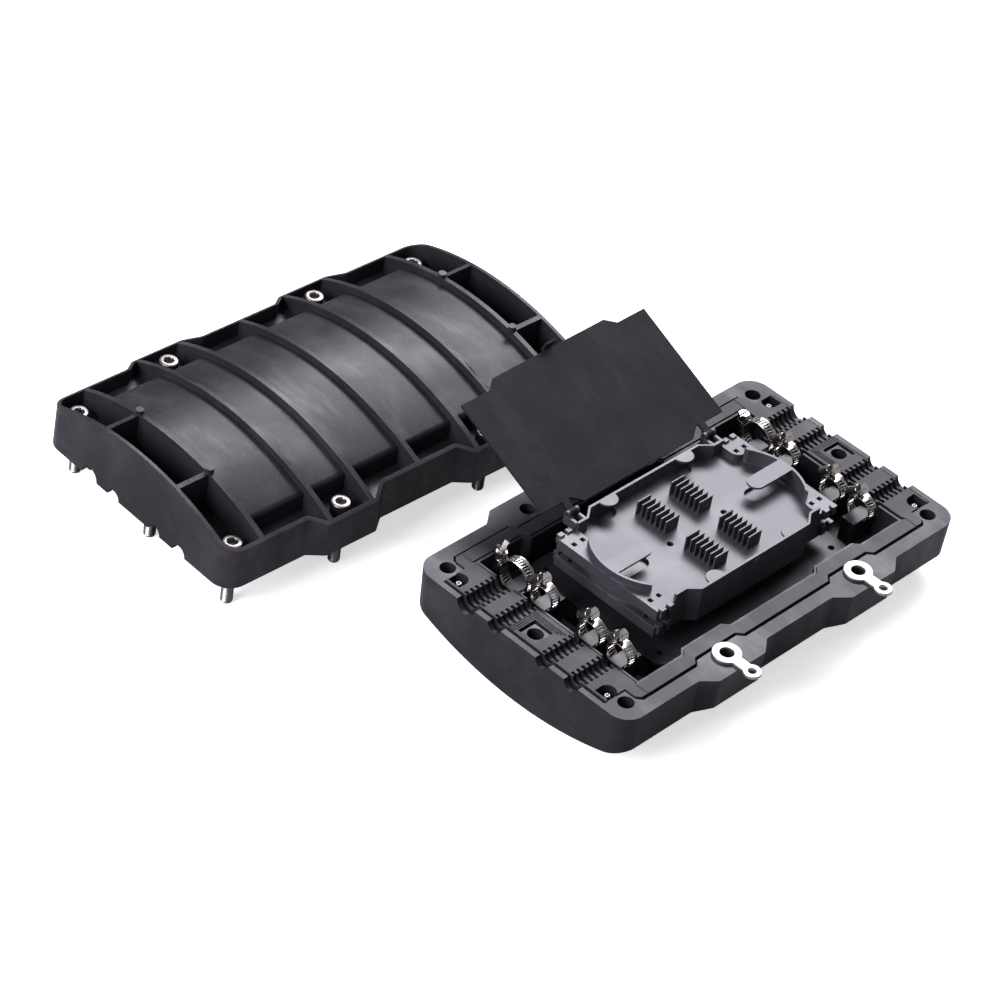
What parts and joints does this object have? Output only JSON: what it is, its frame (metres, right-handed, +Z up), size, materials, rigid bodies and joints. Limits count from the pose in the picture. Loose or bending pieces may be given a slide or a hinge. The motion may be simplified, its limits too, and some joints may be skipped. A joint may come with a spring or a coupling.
{
  "type": "horizontal fibre splice closure",
  "caption": "Opened inline fibre splice closure: ribbed black base with seals, cable clamps and stacked splice trays under a hinged lid, and its ribbed cover standing on captive bolts.",
  "frame": {"origin": "on the table under the middle of the base, in the plane of its four foot pegs", "axes": "+X along the closure, +Y across it towards the cover, +Z up"},
  "size_m": [0.4023, 0.4508, 0.1147],
  "materials": {
    "shell": "moulded black plastic, satin",
    "rubber": "soft black rubber",
    "insert": "turned brass",
    "bolt": "plain stainless steel",
    "lug": "flat steel, lightly brushed",
    "clamp": "bright stainless strip",
    "tray": "satin grey-black plastic",
    "lid": "satin black plastic",
    "bracket": "black plastic"
  },
  "bodies": {
    "closure": {"base_shell": "shell", "cover_shell": "shell", "left_end_seal": "rubber", "right_end_seal": "rubber", "cover_left_seal": "rubber", "cover_right_seal": "rubber", "near_side_gasket": "rubber", "far_side_gasket": "rubber", "threaded_inserts": "insert", "seal_screws": "clamp", "left_cable_bracket": "bracket", "right_cable_bracket": "bracket", "tray_bracket": "bracket", "lower_tray": "tray", "upper_tray": "tray", "left_lug": "lug", "right_lug": "lug", "clamp_band_1": "clamp", "clamp_band_2": "clamp", "clamp_band_3": "clamp", "clamp_band_4": "clamp", "clamp_band_5": "clamp", "clamp_band_6": "clamp", "clamp_band_7": "clamp", "clamp_band_8": "clamp", "clamp_housing_1": "clamp", "clamp_housing_2": "clamp", "clamp_housing_3": "clamp", "clamp_housing_4": "clamp", "clamp_housing_5": "clamp", "clamp_housing_6": "clamp", "clamp_housing_7": "clamp", "clamp_housing_8": "clamp"},
    "tray_lid": {"tray_lid": "lid"},
    "clamp_screw_1": {"clamp_screw_1": "clamp"},
    "clamp_screw_2": {"clamp_screw_2": "clamp"},
    "clamp_screw_3": {"clamp_screw_3": "clamp"},
    "clamp_screw_4": {"clamp_screw_4": "clamp"},
    "clamp_screw_5": {"clamp_screw_5": "clamp"},
    "clamp_screw_6": {"clamp_screw_6": "clamp"},
    "clamp_screw_7": {"clamp_screw_7": "clamp"},
    "clamp_screw_8": {"clamp_screw_8": "clamp"},
    "cover_bolt_1": {"cover_bolt_1": "bolt"},
    "cover_bolt_2": {"cover_bolt_2": "bolt"},
    "cover_bolt_3": {"cover_bolt_3": "bolt"},
    "cover_bolt_4": {"cover_bolt_4": "bolt"},
    "cover_bolt_5": {"cover_bolt_5": "bolt"},
    "cover_bolt_6": {"cover_bolt_6": "bolt"},
    "cover_bolt_7": {"cover_bolt_7": "bolt"},
    "cover_bolt_8": {"cover_bolt_8": "bolt"},
    "cover_bolt_9": {"cover_bolt_9": "bolt"},
    "cover_bolt_10": {"cover_bolt_10": "bolt"}
  },
  "joints": [
    {"name": "lid_hinge", "type": "hinge", "parent": "closure", "child": "tray_lid", "pos_m": [0.002, 0.05, 0.0666], "axis": [1, 0, 0], "range_deg": [0, 155.4]},
    {"name": "clamp_screw_1_turn", "type": "hinge", "parent": "closure", "child": "clamp_screw_1", "pos_m": [-0.112, 0.05865, 0.0455], "axis": [0, 0, 1], "continuous": true},
    {"name": "clamp_screw_2_turn", "type": "hinge", "parent": "closure", "child": "clamp_screw_2", "pos_m": [-0.112, 0.0278, 0.05416], "axis": [0, -0.7431, 0.6691], "continuous": true},
    {"name": "clamp_screw_3_turn", "type": "hinge", "parent": "closure", "child": "clamp_screw_3", "pos_m": [-0.112, -0.01221, 0.05416], "axis": [0, -0.7431, 0.6691], "continuous": true},
    {"name": "clamp_screw_4_turn", "type": "hinge", "parent": "closure", "child": "clamp_screw_4", "pos_m": [-0.112, -0.03621, 0.05416], "axis": [0, -0.7431, 0.6691], "continuous": true},
    {"name": "clamp_screw_5_turn", "type": "hinge", "parent": "closure", "child": "clamp_screw_5", "pos_m": [0.112, 0.05865, 0.0455], "axis": [0, 0, 1], "continuous": true},
    {"name": "clamp_screw_6_turn", "type": "hinge", "parent": "closure", "child": "clamp_screw_6", "pos_m": [0.112, 0.0278, 0.05416], "axis": [0, -0.7431, 0.6691], "continuous": true},
    {"name": "clamp_screw_7_turn", "type": "hinge", "parent": "closure", "child": "clamp_screw_7", "pos_m": [0.112, -0.01221, 0.05416], "axis": [0, -0.7431, 0.6691], "continuous": true},
    {"name": "clamp_screw_8_turn", "type": "hinge", "parent": "closure", "child": "clamp_screw_8", "pos_m": [0.112, -0.03621, 0.05416], "axis": [0, -0.7431, 0.6691], "continuous": true},
    {"name": "cover_bolt_1_turn", "type": "hinge", "parent": "closure", "child": "cover_bolt_1", "pos_m": [-0.22485, 0.32038, 0.04], "axis": [0, 0, 1], "continuous": true},
    {"name": "cover_bolt_2_turn", "type": "hinge", "parent": "closure", "child": "cover_bolt_2", "pos_m": [-0.22807, 0.24545, 0.04], "axis": [0, 0, 1], "continuous": true},
    {"name": "cover_bolt_3_turn", "type": "hinge", "parent": "closure", "child": "cover_bolt_3", "pos_m": [-0.23129, 0.17052, 0.04], "axis": [0, 0, 1], "continuous": true},
    {"name": "cover_bolt_4_turn", "type": "hinge", "parent": "closure", "child": "cover_bolt_4", "pos_m": [-0.15225, 0.15812, 0.04], "axis": [0, 0, 1], "continuous": true},
    {"name": "cover_bolt_5_turn", "type": "hinge", "parent": "closure", "child": "cover_bolt_5", "pos_m": [-0.02936, 0.15284, 0.04], "axis": [0, 0, 1], "continuous": true},
    {"name": "cover_bolt_6_turn", "type": "hinge", "parent": "closure", "child": "cover_bolt_6", "pos_m": [0.05045, 0.15842, 0.04], "axis": [0, 0, 1], "continuous": true},
    {"name": "cover_bolt_7_turn", "type": "hinge", "parent": "closure", "child": "cover_bolt_7", "pos_m": [0.05367, 0.23335, 0.04], "axis": [0, 0, 1], "continuous": true},
    {"name": "cover_bolt_8_turn", "type": "hinge", "parent": "closure", "child": "cover_bolt_8", "pos_m": [0.05689, 0.30828, 0.04], "axis": [0, 0, 1], "continuous": true},
    {"name": "cover_bolt_9_turn", "type": "hinge", "parent": "closure", "child": "cover_bolt_9", "pos_m": [-0.02215, 0.32068, 0.04], "axis": [0, 0, 1], "continuous": true},
    {"name": "cover_bolt_10_turn", "type": "hinge", "parent": "closure", "child": "cover_bolt_10", "pos_m": [-0.14504, 0.32596, 0.04], "axis": [0, 0, 1], "continuous": true}
  ]
}
